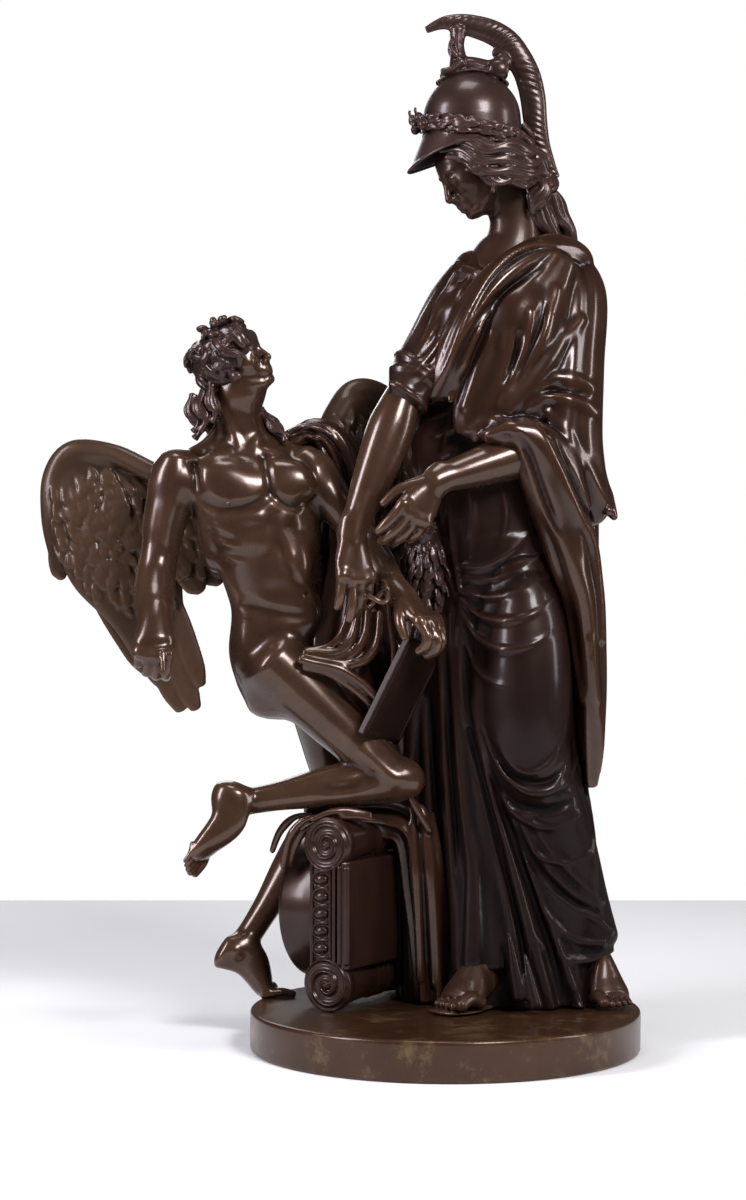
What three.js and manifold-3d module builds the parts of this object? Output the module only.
// A cast bronze group on a round base: a standing goddess in a crested helmet, and a winged
// youth who kneels with one knee on an Ionic capital laid on its side and leans on a tablet.
//
// Every figure is a union of lofts. A loft is a closed skin through elliptical stations, and a
// station is [x, y, z, side, front, back]: its centre, its half width, and how far it reaches
// towards the side it faces and away from it. +Z is up and the group is seen along +Y.
import * as THREE from "three";
import { mergeVertices } from "three/addons/utils/BufferGeometryUtils.js";
import Module from "manifold-3d";

const wasm = await Module();
wasm.setup();

// Driving dimensions, in millimetres.
const BASE_DIAMETER = 292;
const BASE_HEIGHT = 30;
const BASE_EDGE = 3; // rounding of the base's rims
const GROUP_HEIGHT = 746; // from the base's top to the top of the helmet's crest
const CAST_GAP = 0.3; // between two castings that touch
const TABLET_THICKNESS = 9;

// The pose below is written for a group of this height, and everything in it scales together.
const POSE_HEIGHT = 746;
const SCALE = GROUP_HEIGHT / POSE_HEIGHT;

// What the castings look like: brown patinated bronze, darker in the cloth.
const bronze = (color) =>
  new THREE.MeshStandardMaterial({ color, roughness: 0.32, metalness: 0.85 });
const SKIN_BRONZE = bronze(0x5a3d28);
const CLOTH_BRONZE = bronze(0x3d2a20);
const BASE_BRONZE = bronze(0x4a3324);

const point = (x, y, z) => new THREE.Vector3(x, y, z);
const TOWARDS_VIEWER = point(0, -1, 0);
const UPWARDS = point(0, 0, 1);

// Catmull-Rom value at t, from 0 to rows.length - 1, through rows of numbers.
function between(rows, t) {
  const last = rows.length - 1;
  const i = Math.min(Math.floor(t), last - 1);
  const w = t - i;
  const [a, b, c, d] = [i - 1, i, i + 1, i + 2].map(
    (k) => rows[Math.max(0, Math.min(last, k))],
  );
  return b.map((_, k) => {
    const slope = c[k] - a[k];
    const bend = 2 * a[k] - 5 * b[k] + 4 * c[k] - d[k];
    const twist = 3 * (b[k] - c[k]) + d[k] - a[k];
    return b[k] + 0.5 * w * (slope + w * (bend + w * twist));
  });
}

// A closed skin through the stations. `facing` says which way the front reach points, `ripple`
// adds to the radius at a height share and an angle, `grow` swells the whole form, and `cap`
// says how far each end bulges, as a share of its radius.
function loft(stations, options = {}) {
  const {
    sides = 8,
    steps = 1,
    facing = TOWARDS_VIEWER,
    grow = 0,
    ripple = null,
    cap = 0.5,
  } = options;
  const rings = (stations.length - 1) * steps + 1;
  const last = rings - 1;
  const sampled = Array.from({ length: rings }, (_, i) => between(stations, i / steps));
  const centres = sampled.map(([x, y, z]) => point(x, y, z));
  const directions = centres.map((_, i) =>
    centres[Math.min(i + 1, last)]
      .clone()
      .sub(centres[Math.max(i - 1, 0)])
      .normalize(),
  );
  const positions = [];
  sampled.forEach(([, , , side, front, back], i) => {
    const ahead = directions[i];
    const forward = facing
      .clone()
      .addScaledVector(ahead, -facing.dot(ahead))
      .normalize();
    const across = ahead.clone().cross(forward);
    for (let j = 0; j < sides; j++) {
      const angle = (2 * Math.PI * j) / sides;
      const extra = grow + (ripple ? ripple(i / last, angle) : 0);
      const reach = Math.sin(angle) > 0 ? front : back;
      positions.push(
        ...centres[i]
          .clone()
          .addScaledVector(across, (side + extra) * Math.cos(angle))
          .addScaledVector(forward, (reach + extra) * Math.sin(angle)),
      );
    }
  });
  const bulge = (i) => cap * Math.min(sampled[i][3], sampled[i][4]) + grow;
  const startPole = centres[0].clone().addScaledVector(directions[0], -bulge(0));
  const endPole = centres[last].clone().addScaledVector(directions[last], bulge(last));
  positions.push(...startPole, ...endPole);
  const index = [];
  const [start, end] = [rings * sides, rings * sides + 1];
  for (let j = 0; j < sides; j++) {
    const k = (j + 1) % sides;
    index.push(start, k, j, last * sides + j, last * sides + k, end);
    for (let i = 0; i < last; i++) {
      const [a, b] = [i * sides + j, i * sides + k];
      index.push(a, b, b + sides, a, b + sides, a + sides);
    }
  }
  return new THREE.BufferGeometry()
    .setAttribute("position", new THREE.Float32BufferAttribute(positions, 3))
    .setIndex(index);
}

// A form with one radius all round, such as a finger or a rope of cloth.
const rod = (rows, options) =>
  loft(
    rows.map(([x, y, z, r]) => [x, y, z, r, r, r]),
    { sides: 5, ...options },
  );

// An egg: a sphere stretched to three half sizes, turned about Y by `lean` radians.
function egg([x, y, z], [a, b, c], { grow = 0, lean = 0, detail = 6 } = {}) {
  return new THREE.SphereGeometry(1, detail, Math.round(detail * 0.7))
    .rotateX(Math.PI / 2)
    .scale(a + grow, b + grow, c + grow)
    .rotateY(lean)
    .translate(x, y, z);
}

function solidOf(geometry) {
  const bare = new THREE.BufferGeometry()
    .setAttribute("position", geometry.getAttribute("position"))
    .setIndex(geometry.index);
  const merged = mergeVertices(bare, 1e-3);
  const made = new wasm.Manifold(
    new wasm.Mesh({
      numProp: 3,
      vertProperties: merged.getAttribute("position").array,
      triVerts: new Uint32Array(merged.index.array),
    }),
  );
  if (made.volume() > 0) return made;
  const turned = new Uint32Array(merged.index.array);
  for (let i = 0; i < turned.length; i += 3)
    [turned[i + 1], turned[i + 2]] = [turned[i + 2], turned[i + 1]];
  return new wasm.Manifold(
    new wasm.Mesh({
      numProp: 3,
      vertProperties: merged.getAttribute("position").array,
      triVerts: turned,
    }),
  );
}

const fuse = (geometries) =>
  geometries.map(solidOf).reduce((all, one) => all.add(one));

// What stands above the base's top, with the crumbs that a cut leaves behind dropped.
function castingOf(solid) {
  const reach = POSE_HEIGHT * 2;
  const room = new THREE.BoxGeometry(reach, reach, reach).translate(0, 0, reach / 2);
  const pieces = solid.intersect(solidOf(room)).decompose();
  return pieces.sort((a, b) => b.volume() - a.volume())[0];
}

function meshOf(name, solid, material) {
  const { vertProperties, triVerts, numProp } = solid.getMesh();
  const positions = [];
  for (let i = 0; i < vertProperties.length; i += numProp)
    positions.push(...vertProperties.subarray(i, i + 3));
  const geometry = new THREE.BufferGeometry()
    .setAttribute("position", new THREE.Float32BufferAttribute(positions, 3))
    .setIndex([...triVerts]);
  geometry.computeVertexNormals();
  const mesh = new THREE.Mesh(geometry, material);
  mesh.name = name;
  return mesh;
}

// The round base, with its two rims eased.
function makeBase() {
  const radius = BASE_DIAMETER / 2;
  const profile = [
    [0, 0],
    [radius - BASE_EDGE, 0],
    [radius, BASE_EDGE],
    [radius, BASE_HEIGHT - BASE_EDGE],
    [radius - BASE_EDGE * 0.3, BASE_HEIGHT - BASE_EDGE * 0.3],
    [radius - BASE_EDGE, BASE_HEIGHT],
    [0, BASE_HEIGHT],
  ].map(([x, y]) => new THREE.Vector2(x, y));
  const turned = new THREE.LatheGeometry(profile, 32).rotateX(Math.PI / 2);
  return meshOf("base", solidOf(turned), BASE_BRONZE);
}

// The capital lies on its side. In its own frame x runs from the front volutes to the back
// ones, y from the abacus to the shaft, and z is up. VOLUTE_AT is the lower front volute.
const VOLUTE_AT = [-89, -28];
const CAPITAL_TURN = Math.atan2(0.86, 0.51);
const CAPITAL_DEPTH = 122;
const VOLUTE_RADIUS = 20;
const VOLUTE_SPACING = 104; // between the eyes of the two volutes on one face
const SHAFT_RADIUS = 57;
const SHAFT_LENGTH = 42;
const RELIEF = 3; // how far the carving stands out of the faces

function volute(z, sense, x, grow) {
  const arm = 4.6;
  const turns = 2.2;
  const steps = 12;
  const stations = Array.from({ length: steps + 1 }, (_, i) => {
    const share = i / steps;
    const radius = (VOLUTE_RADIUS - arm * 0.5) * (1 - 0.8 * share);
    const angle = sense * 2 * Math.PI * turns * share;
    const thick = arm * (1 - 0.55 * share) * 0.55;
    return [x, radius * Math.cos(angle), z + radius * Math.sin(angle), thick];
  });
  return rod(stations, { grow, facing: point(1, 0, 0), sides: 4 });
}

function box([x0, x1], [y0, y1], [z0, z1], grow) {
  const [dx, dy, dz] = [x1 - x0, y1 - y0, z1 - z0].map((d) => d + 2 * grow);
  return new THREE.BoxGeometry(dx, dy, dz).translate(
    (x0 + x1) / 2,
    (y0 + y1) / 2,
    (z0 + z1) / 2,
  );
}

function capitalSolid(grow = 0) {
  const middle = VOLUTE_RADIUS + VOLUTE_SPACING / 2;
  const height = VOLUTE_SPACING + 2 * VOLUTE_RADIUS;
  const abacus = -VOLUTE_RADIUS;
  const forms = [
    box([0, CAPITAL_DEPTH], [abacus, abacus + 6], [2, height - 2], grow),
    box(
      [2 * RELIEF, CAPITAL_DEPTH - 2 * RELIEF],
      [abacus, VOLUTE_RADIUS * 0.6],
      [VOLUTE_RADIUS, VOLUTE_RADIUS + VOLUTE_SPACING],
      grow,
    ),
    new THREE.CylinderGeometry(
      SHAFT_RADIUS + grow,
      SHAFT_RADIUS + grow,
      SHAFT_LENGTH + 2 * grow,
      18,
    ).translate(CAPITAL_DEPTH / 2, SHAFT_LENGTH / 2 + 4, middle),
  ];
  [0, 1].forEach((upper) => {
    const z = VOLUTE_RADIUS + upper * VOLUTE_SPACING - 0.5;
    const waists = [1, 0.78, 0.86, 0.78, 1];
    const bolster = waists.map((share, i) => {
      const x = RELIEF + (i * (CAPITAL_DEPTH - 2 * RELIEF)) / (waists.length - 1);
      return [x, 0, z, VOLUTE_RADIUS * share];
    });
    forms.push(
      rod(bolster, { sides: 10, grow, facing: UPWARDS, cap: 0.05 }),
      volute(z, upper ? -1 : 1, RELIEF, grow),
    );
  });
  const eggs = 5;
  const pitch = (VOLUTE_SPACING - 2 * VOLUTE_RADIUS) / eggs + 0.6;
  for (let i = 0; i < eggs; i++) {
    const z = middle + (i - (eggs - 1) / 2) * pitch;
    forms.push(egg([2 * RELIEF, 4, z], [6, 8, pitch * 0.46], { grow, detail: 5 }));
  }
  const turned = (form) =>
    form.rotateZ(CAPITAL_TURN).translate(VOLUTE_AT[0], VOLUTE_AT[1], 0);
  return fuse(forms.map(turned));
}

// The tablet leans with its lower corner on the youth's thigh: its long edge rises to the
// right, and its width runs back, away from the viewer.
function tabletSolid(grow = 0) {
  const [length, width] = [80, 58];
  const corner = point(-61, -38, 205);
  const long = point(0.44, -0.07, 0.9).normalize();
  const wide = point(0.5, 0.86, -0.1);
  wide.addScaledVector(long, -wide.dot(long)).normalize();
  const thick = long.clone().cross(wide);
  const middle = corner
    .clone()
    .addScaledVector(long, length / 2)
    .addScaledVector(wide, width / 2)
    .addScaledVector(thick, TABLET_THICKNESS / 2);
  const turned = new THREE.Matrix4().makeBasis(long, wide, thick).setPosition(middle);
  return solidOf(
    new THREE.BoxGeometry(
      length + 2 * grow,
      width + 2 * grow,
      TABLET_THICKNESS + 2 * grow,
    ).applyMatrix4(turned),
  );
}

// Bare limbs. Shares run along the bone, and radii are for the youth's build; `build` scales
// them for another figure.
const THIGH = [
  [0, 23, 23, 26],
  [0.35, 21, 23, 22],
  [0.75, 18, 19, 18],
  [1, 17, 19, 16],
];
const SHANK = [
  [0, 16, 17, 16],
  [0.28, 16, 14, 21],
  [0.62, 13, 11, 15],
  [1, 10, 11, 11],
];
const UPPER_ARM = [
  [-0.12, 13, 14, 14],
  [0.1, 19, 19, 18],
  [0.5, 16, 18, 16],
  [1, 13, 13, 13],
];
const FOREARM = [
  [0, 13.5, 13.5, 13.5],
  [0.3, 14.5, 14, 14],
  [1, 9.5, 8, 8],
];

function limb(from, to, profile, { build = 1, ...options } = {}) {
  const stations = profile.map(([share, ...radii]) => [
    ...from.map((v, k) => v + share * (to[k] - v)),
    ...radii.map((r) => r * build),
  ]);
  return loft(stations, options);
}

// A hand: a palm with four fingers and a thumb. `curl` bends the fingers towards the palm.
function hand(wrist, knuckles, tip, { across, palm = 12, grow = 0, curl = 0.3, thumb }) {
  const [w, k, t] = [wrist, knuckles, tip].map((p) => point(...p));
  const sideways = point(...across).normalize();
  const inwards = t.clone().sub(w).cross(sideways).normalize();
  const soft = { facing: inwards, grow };
  const fingers = [-0.75, -0.25, 0.25, 0.75].map((place, i) => {
    const spread = palm * place;
    const reach = [0.92, 1.03, 1, 0.82][i];
    const root = k.clone().addScaledVector(sideways, spread);
    const end = k
      .clone()
      .lerp(t, reach)
      .addScaledVector(sideways, spread * 1.15)
      .addScaledVector(inwards, palm * curl * (1 + 0.15 * i));
    return rod([[...root, palm * 0.3], [...end, palm * 0.22]], { ...soft, sides: 4 });
  });
  const root = w.clone().lerp(k, 0.35).addScaledVector(sideways, -palm * 0.6);
  return [
    loft(
      [
        [...w, palm * 0.7, palm * 0.5, palm * 0.5],
        [...k, palm, palm * 0.42, palm * 0.42],
      ],
      { ...soft, sides: 6 },
    ),
    ...fingers,
    rod([[...root, palm * 0.36], [...thumb, palm * 0.24]], { ...soft, sides: 4 }),
  ];
}

// A foot from its heel to its toes. `instep` says how high it rises where the shin meets it.
function foot(heel, ball, toe, { width = 11, instep = 1, grow = 0 }) {
  const arch = heel.map((v, k) => v + 0.4 * (ball[k] - v));
  return loft(
    [
      [...heel, width * 0.75, width * 0.8, width * 0.7],
      [...arch, width * 0.8, width * instep, width * 0.5],
      [...ball, width, width * 0.6, width * 0.5],
      [...toe, width * 0.85, width * 0.36, width * 0.36],
    ],
    { facing: UPWARDS, grow },
  );
}

// The youth's joints.
const YOUTH = {
  shoulderR: [-202, 0, 401],
  elbowR: [-217, 8, 326],
  wristR: [-214, -42, 284],
  shoulderL: [-102, 14, 405],
  elbowL: [-66, 8, 354],
  wristL: [-31, -28, 306],
  hipR: [-124, -2, 254],
  kneeR: [-38, -2, 171],
  ankleR: [-156, -12, 153],
  hipL: [-98, 34, 244],
  kneeL: [-80, 84, 146],
  ankleL: [-155, 47, 38],
};
const YOUTH_TRUNK = [
  [-118, 16, 234, 34, 26, 30],
  [-124, 14, 264, 37, 28, 32],
  [-129, 12, 300, 33, 23, 24],
  [-135, 10, 334, 38, 26, 26],
  [-141, 8, 376, 47, 29, 30],
  [-147, 10, 404, 50, 22, 25],
  [-151, 12, 420, 32, 15, 18],
];

function youthBody(grow) {
  const j = YOUTH;
  const bare = { grow };
  const locks = (share, angle) => 2.5 * Math.sin(4 * angle + 9 * share);
  return [
    loft(YOUTH_TRUNK, { sides: 10, facing: point(0.2, -1, 0), grow }),
    loft(
      [
        [-152, 15, 408, 25, 18, 20],
        [-153, 14, 428, 18, 15, 16],
        [-158, 12, 452, 16, 15, 16],
        [-164, 12, 472, 16, 15, 18],
      ],
      bare,
    ),
    loft(
      [
        [-182, 14, 484, 18, 18, 20],
        [-166, 8, 483, 22, 21, 24],
        [-149, 3, 475, 17, 17, 18],
        [-138, 0, 464, 8, 10, 8],
      ],
      { grow, facing: UPWARDS, cap: 0.4 },
    ),
    loft(
      [
        [-179, 14, 458, 14, 14, 14],
        [-178, 14, 472, 21, 24, 21],
        [-175, 13, 485, 23, 26, 23],
        [-169, 10, 497, 20, 21, 21],
        [-162, 7, 505, 11, 12, 13],
      ],
      { sides: 10, ripple: locks, grow, facing: point(1, 0, 0) },
    ),
    rod(
      [
        [-188, 14, 462, 9],
        [-182, 8, 446, 8],
        [-187, 6, 430, 7],
      ],
      bare,
    ),
    rod(
      [
        [-138, 20, 440, 7],
        [-132, 12, 436, 7],
        [-117, 8, 427, 6],
      ],
      bare,
    ),
    egg([-164, -15, 384], [24, 14, 16], bare),
    egg([-124, -14, 386], [20, 14, 16], bare),
    egg([-133, 26, 252], [26, 24, 28], bare),
    limb(j.shoulderR, j.elbowR, UPPER_ARM, bare),
    limb(j.elbowR, j.wristR, FOREARM, { ...bare, facing: UPWARDS }),
    egg([-213, -46, 275], [18, 16, 15], bare),
    rod(
      [
        [-209, -54, 268, 5],
        [-207, -55, 255, 3.6],
      ],
      bare,
    ),
    limb(j.shoulderL, j.elbowL, UPPER_ARM, bare),
    limb(j.elbowL, j.wristL, FOREARM, bare),
    ...hand(j.wristL, [-19, -37, 295], [-4, -48, 280], {
      across: [0.5, 0.8, 0.3],
      palm: 13,
      thumb: [-27, -54, 287],
      grow,
    }),
    limb(j.hipR, j.kneeR, THIGH, bare),
    limb(j.kneeR, j.ankleR, SHANK, { ...bare, facing: point(0, 0, -1) }),
    foot([-166, -12, 158], [-181, -14, 127], [-187, -16, 111], { width: 13, grow }),
    limb(j.hipL, j.kneeL, THIGH, bare),
    limb(j.kneeL, j.ankleL, SHANK, { ...bare, facing: point(1, 0, 0) }),
    foot([-168, 42, 34], [-141, 48, 8], [-121, 54, 5], {
      width: 12,
      instep: 1.9,
      grow,
    }),
  ];
}

// The youth's cloth: over the far shoulder, in swags across the lap, and down the capital.
function youthCloth(grow) {
  const ropes = (count, lengthen) =>
    Array.from({ length: count }, (_, i) => rod(lengthen(i), { grow, sides: 4 }));
  return [
    loft(
      [
        [-114, 22, 426, 10, 12, 12],
        [-86, 30, 420, 13, 17, 14],
        [-72, 30, 380, 17, 17, 14],
        [-74, 14, 306, 24, 18, 16],
        [-80, 4, 262, 28, 20, 20],
        [-52, 20, 190, 25, 16, 18],
      ],
      { grow },
    ),
    loft(
      [
        [-100, 2, 150, 10, 6, 8],
        [-70, 12, 152, 18, 8, 9],
        [-38, 22, 148, 22, 10, 12],
        [-14, 26, 126, 22, 14, 12],
        [-6, 26, 80, 18, 12, 10],
        [4, 26, 32, 12, 8, 8],
      ],
      { facing: point(0.3, -1, 0.2), grow },
    ),
    ...ropes(3, (i) => [
      [-64 + 4 * i, -18, 318 - 3 * i, 5],
      [-62 + 3 * i, -24, 286 - 8 * i, 6],
      [-84 + 5 * i, -24, 264 - 9 * i, 7],
      [-112 + 6 * i, -22, 264 - 9 * i, 5],
    ]),
    ...ropes(3, (i) => [
      [-32 + 12 * i, 4 + 6 * i, 172 - 6 * i, 6],
      [-24 + 12 * i, 2 + 6 * i, 110 - 6 * i, 7],
      [-12 + 9 * i, 4 + 4 * i, 36 + 4 * i, 6],
    ]),
    ...ropes(2, (i) => [
      [-92 - 4 * i, 6, 146, 7],
      [-112 - 5 * i, 0, 136 - 3 * i, 6],
      [-120 - 5 * i, -2, 112, 4],
    ]),
  ];
}

// A wing: a fleshy leading edge, a web of short feathers that fills the middle, and long
// feathers that each run from the edge or the web to their own tip.
function wingForms({ edge, web, feathers, grow }) {
  return [
    loft(edge, { sides: 6, grow }),
    loft(web, { grow }),
    ...feathers.map(([from, to, width]) => {
      const at = (share) => from.map((v, k) => v + share * (to[k] - v));
      return loft(
        [
          [...at(0), width * 0.8, 5, 5],
          [...at(0.6), width, 4, 4],
          [...at(0.93), width * 0.6, 2.5, 2.5],
        ],
        { sides: 6, grow, cap: 1 },
      );
    }),
  ];
}

const wingRight = (grow = 0) =>
  wingForms({
    edge: [
      [-196, 32, 392, 12, 9, 8],
      [-226, 38, 402, 12, 9, 8],
      [-258, 48, 414, 13, 9, 8],
      [-284, 56, 410, 16, 9, 8],
      [-298, 60, 386, 14, 8, 7],
      [-300, 60, 352, 11, 7, 6],
      [-294, 60, 330, 8, 5, 5],
    ],
    web: [
      [-276, 56, 408, 26, 6, 6],
      [-262, 52, 372, 42, 8, 6],
      [-242, 48, 330, 48, 8, 6],
      [-222, 44, 296, 30, 5, 5],
    ],
    feathers: [
      [[-270, 54, 340], [-190, 41, 220], 12],
      [[-262, 54, 352], [-202, 44, 218], 13],
      [[-280, 57, 352], [-222, 47, 240], 12],
      [[-288, 58, 352], [-254, 53, 272], 12],
      [[-292, 60, 360], [-290, 59, 318], 10],
      [[-240, 50, 340], [-184, 40, 236], 12],
      [[-226, 42, 350], [-206, 36, 312], 10],
      [[-206, 42, 362], [-180, 42, 312], 14],
      [[-192, 42, 356], [-162, 43, 318], 11],
    ],
    grow,
  });

const wingLeft = (grow = 0) =>
  wingForms({
    edge: [
      [-112, 44, 396, 10, 9, 9],
      [-94, 62, 420, 11, 9, 9],
      [-80, 78, 452, 12, 9, 9],
      [-66, 90, 470, 14, 9, 9],
      [-46, 98, 462, 14, 8, 8],
    ],
    web: [
      [-62, 90, 464, 20, 6, 6],
      [-60, 88, 420, 34, 7, 7],
      [-66, 80, 370, 38, 7, 7],
      [-66, 78, 320, 28, 6, 6],
    ],
    feathers: [
      [[-36, 98, 440], [-22, 108, 372], 12],
      [[-42, 96, 400], [-12, 112, 330], 12],
      [[-48, 94, 380], [-14, 108, 290], 13],
      [[-54, 90, 370], [-26, 104, 256], 13],
      [[-64, 84, 360], [-44, 96, 244], 13],
      [[-76, 74, 350], [-64, 80, 262], 13],
      [[-88, 64, 350], [-82, 62, 290], 12],
    ],
    grow,
  });

// The goddess's joints.
const GODDESS = {
  shoulderR: [17, 4, 543],
  elbowR: [-34, -26, 450],
  wristR: [-70, -48, 352],
  shoulderL: [104, 18, 548],
  elbowL: [92, -6, 428],
  wristL: [-9, -48, 392],
  hipL: [84, 16, 312],
  kneeL: [63, -16, 182],
  ankleL: [118, 20, 42],
};

// Folds of the gown: ridges that run down the cloth and drift sideways towards the hem.
const PLEATS = 10;
function gownRipple(share, angle) {
  const depth = 1 + 4.5 * (1 - share);
  const drift = 0.6 * (1 - share);
  return depth * Math.sin(PLEATS * (angle + drift));
}

// Folds that fan across a body from one shoulder, `count` of them round it.
const drapeRipple = (count, depth, drift) => (share, angle) =>
  depth * Math.sin(count * (angle + drift * share));

function goddessBody(grow) {
  const j = GODDESS;
  return [
    loft(
      [
        [57, 26, 0, 68, 46, 54],
        [55, 26, 36, 62, 44, 52],
        [49, 25, 110, 61, 42, 46],
        [43, 24, 200, 63, 40, 42],
        [44, 22, 290, 56, 38, 40],
        [44, 20, 352, 48, 36, 38],
      ],
      { sides: 30, ripple: gownRipple, grow, cap: 0.02 },
    ),
    loft(
      [
        [44, 18, 340, 47, 36, 38],
        [32, 16, 392, 54, 32, 36],
        [27, 12, 430, 56, 30, 34],
        [38, 10, 480, 46, 34, 34],
        [45, 8, 530, 44, 34, 34],
        [46, 9, 560, 38, 22, 28],
        [50, 9, 574, 20, 16, 22],
      ],
      { sides: 14, ripple: drapeRipple(5, 2, 0.8), grow },
    ),
    egg([16, -20, 514], [18, 16, 18], { grow }),
    egg([62, -22, 514], [19, 16, 19], { grow }),
    limb(j.hipL, j.kneeL, THIGH, { build: 1.5, grow }),
    limb(j.kneeL, j.ankleL, SHANK, { build: 1.5, grow }),
    limb(j.shoulderR, j.elbowR, UPPER_ARM, { build: 1.22, grow }),
    limb(j.elbowR, j.wristR, FOREARM, { build: 1.12, grow }),
    ...hand(j.wristR, [-64, -52, 330], [-62, -48, 300], {
      across: [0.8, -0.5, 0],
      palm: 14,
      thumb: [-52, -62, 318],
      grow,
    }),
    limb(j.elbowL, j.wristL, FOREARM, { build: 1.05, grow, facing: UPWARDS }),
    ...hand(j.wristL, [-24, -53, 380], [-38, -58, 354], {
      across: [0.5, -0.2, -0.8],
      palm: 13,
      thumb: [-24, -68, 366],
      grow,
    }),
    foot([30, 0, 10], [12, -28, 8], [4, -40, 6], { width: 16, grow }),
    foot([114, 26, 14], [126, 2, 8], [130, -10, 6], { width: 15, grow }),
  ];
}

// The mantle: a roll across the chest, a cape over the near shoulder and forearm, the long
// fall from the forearm, and the part down her back. Two swags cross the raised thigh.
function goddessMantle(grow) {
  const swag = (left, middle, right) => rod([left, middle, right], { grow });
  return [
    loft(
      [
        [107, 22, 566, 12, 14, 18],
        [78, -2, 567, 12, 11, 12],
        [49, -22, 550, 13, 10, 10],
        [26, -31, 526, 14, 10, 10],
        [11, -34, 499, 14, 10, 10],
        [0, -32, 474, 13, 9, 9],
        [-8, -24, 458, 9, 8, 8],
      ],
      { grow },
    ),
    loft(
      [
        [96, 20, 560, 18, 18, 24],
        [96, 18, 530, 27, 26, 32],
        [93, 12, 470, 26, 35, 37],
        [90, 5, 415, 28, 36, 36],
        [98, 6, 372, 28, 20, 34],
      ],
      { sides: 10, ripple: drapeRipple(4, 2, 0.5), grow },
    ),
    loft(
      [
        [30, -38, 424, 7, 12, 6],
        [54, -34, 424, 12, 18, 12],
        [84, -19, 404, 17, 22, 18],
        [102, -9, 356, 17, 23, 21],
        [108, -2, 280, 14, 20, 24],
        [111, 6, 215, 10, 14, 22],
        [112, 8, 168, 6, 8, 14],
      ],
      { grow },
    ),
    loft(
      [
        [60, 32, 562, 44, 12, 22],
        [63, 40, 480, 54, 16, 24],
        [66, 42, 330, 51, 14, 26],
        [69, 39, 170, 42, 10, 22],
      ],
      { grow },
    ),
    swag([14, -9, 312, 4], [54, -34, 284, 5], [92, -12, 304, 4]),
    swag([28, -12, 200, 4], [66, -36, 158, 5], [94, -2, 196, 4]),
    swag([32, -12, 174, 4], [68, -32, 136, 5], [98, 4, 172, 4]),
  ];
}

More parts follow.
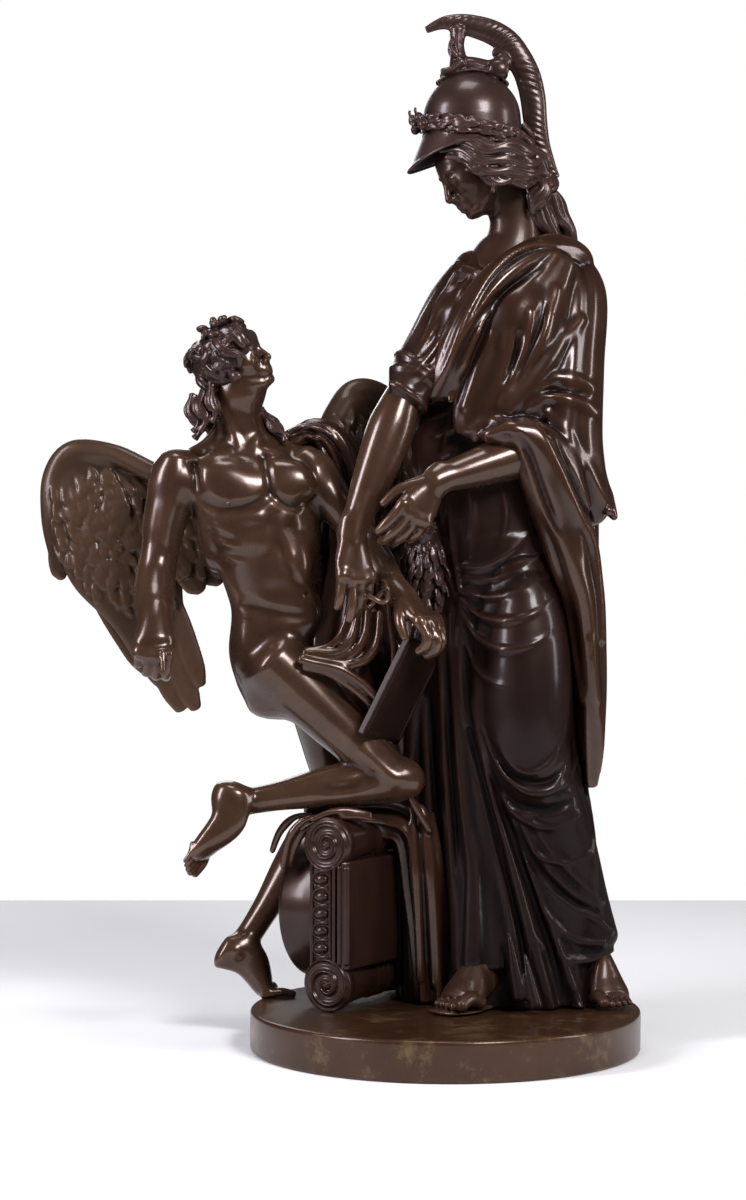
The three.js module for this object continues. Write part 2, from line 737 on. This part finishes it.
// Head, helmet and crest. The head bows, and the helmet sits level on it.
function goddessHead(grow) {
  const crest = loft(
    [
      [-15, 2, 733, 2.5, 3, 2.5],
      [1, 3, 737, 6, 5, 5],
      [16, 4, 737, 7, 8, 8],
      [34, 4, 732, 7, 9, 9],
      [55, 4, 713, 7, 9, 9],
      [67, 4, 682, 7, 9, 9],
      [71, 5, 650, 7, 8, 8],
      [78, 6, 630, 5, 6, 6],
      [85, 6, 622, 2, 2, 2],
    ],
    { sides: 6, grow, facing: point(-0.6, 0, -0.8) },
  );
  const leafCount = 8;
  const wreath = rod(
    Array.from({ length: leafCount + 1 }, (_, i) => {
      const turn = (2 * Math.PI * i) / leafCount;
      const [x, y] = [20 + 36 * Math.cos(turn), 4 + 32 * Math.sin(turn)];
      return [x, y, 656, i % 2 ? 7.5 : 4.5];
    }),
    { grow, sides: 4, facing: UPWARDS },
  );
  return [
    loft(
      [
        [50, 9, 560, 26, 22, 24],
        [50, 8, 584, 17, 16, 17],
        [46, 7, 610, 17, 17, 18],
        [36, 6, 630, 20, 20, 20],
      ],
      { grow },
    ),
    loft(
      [
        [20, 3, 642, 24, 26, 30],
        [13, 2, 624, 20, 19, 28],
        [14, 1, 609, 16, 16, 25],
        [19, 0, 598, 10, 11, 16],
      ],
      { grow, facing: point(-1, 0, -0.4), cap: 0.5 },
    ),
    egg([34, 5, 632], [30, 27, 24], { grow }),
    egg([20, 4, 666], [37, 33, 36], { grow, detail: 10 }),
    wreath,
    rod([[19, 4, 650, 37], [17, 4, 635, 38]], { sides: 10, grow, cap: 0.1 }),
    loft(
      [
        [15, 4, 648, 30, 38, 24],
        [19, 4, 638, 33, 46, 24],
      ],
      { sides: 10, grow, facing: point(-1, 0, 0), cap: 0.05 },
    ),
    crest,
    ...crestBeast(grow),
    rod(
      [
        [62, 9, 636, 11],
        [74, 13, 610, 13],
        [84, 18, 588, 13],
        [80, 24, 562, 11],
      ],
      { grow, sides: 6 },
    ),
  ];
}

// The little crouching beast that carries the crest on the crown of the helmet.
const crestBeast = (grow) => [
  rod(
    [
      [0, 4, 701, 6],
      [20, 4, 704, 8],
      [38, 4, 704, 8],
      [46, 4, 712, 3],
    ],
    { grow },
  ),
  rod(
    [
      [12, 4, 702, 8],
      [8, 4, 718, 5.5],
      [9, 4, 732, 5.5],
    ],
    { grow },
  ),
];

// The small owl that perches by her hand.
const owlForms = (grow) => [
  egg([-14, 4, 330], [17, 20, 28], { grow, lean: 0.2 }),
  egg([-18, 0, 356], [14, 14, 13], { grow }),
];

const capital = capitalSolid();
const tablet = tabletSolid();
const youthForms = (grow) => [...youthBody(grow), ...youthCloth(grow)];
const grownYouth = fuse(youthForms(CAST_GAP));
const grownCapital = capitalSolid(CAST_GAP);
const grownTablet = tabletSolid(CAST_GAP);

const youth = fuse(youthForms(0)).subtract(grownCapital).subtract(grownTablet);
const rightWing = fuse(wingRight()).subtract(grownYouth);
const leftWing = fuse(wingLeft()).subtract(grownYouth);
const goddess = fuse([
  ...goddessBody(0),
  ...goddessMantle(0),
  ...goddessHead(0),
  ...owlForms(0),
])
  .subtract(grownYouth)
  .subtract(grownCapital)
  .subtract(grownTablet)
  .subtract(fuse(wingLeft(CAST_GAP)));

const figures = new THREE.Group();
figures.position.z = BASE_HEIGHT + CAST_GAP;
figures.scale.setScalar(SCALE);
figures.add(
  meshOf("ionic_capital", castingOf(capital), CLOTH_BRONZE),
  meshOf("tablet", castingOf(tablet), CLOTH_BRONZE),
  meshOf("winged_youth", castingOf(youth), SKIN_BRONZE),
  meshOf("right_wing", castingOf(rightWing), SKIN_BRONZE),
  meshOf("left_wing", castingOf(leftWing), SKIN_BRONZE),
  meshOf("athena", castingOf(goddess), CLOTH_BRONZE),
);

const group = new THREE.Group();
group.add(makeBase(), figures);

export default group;
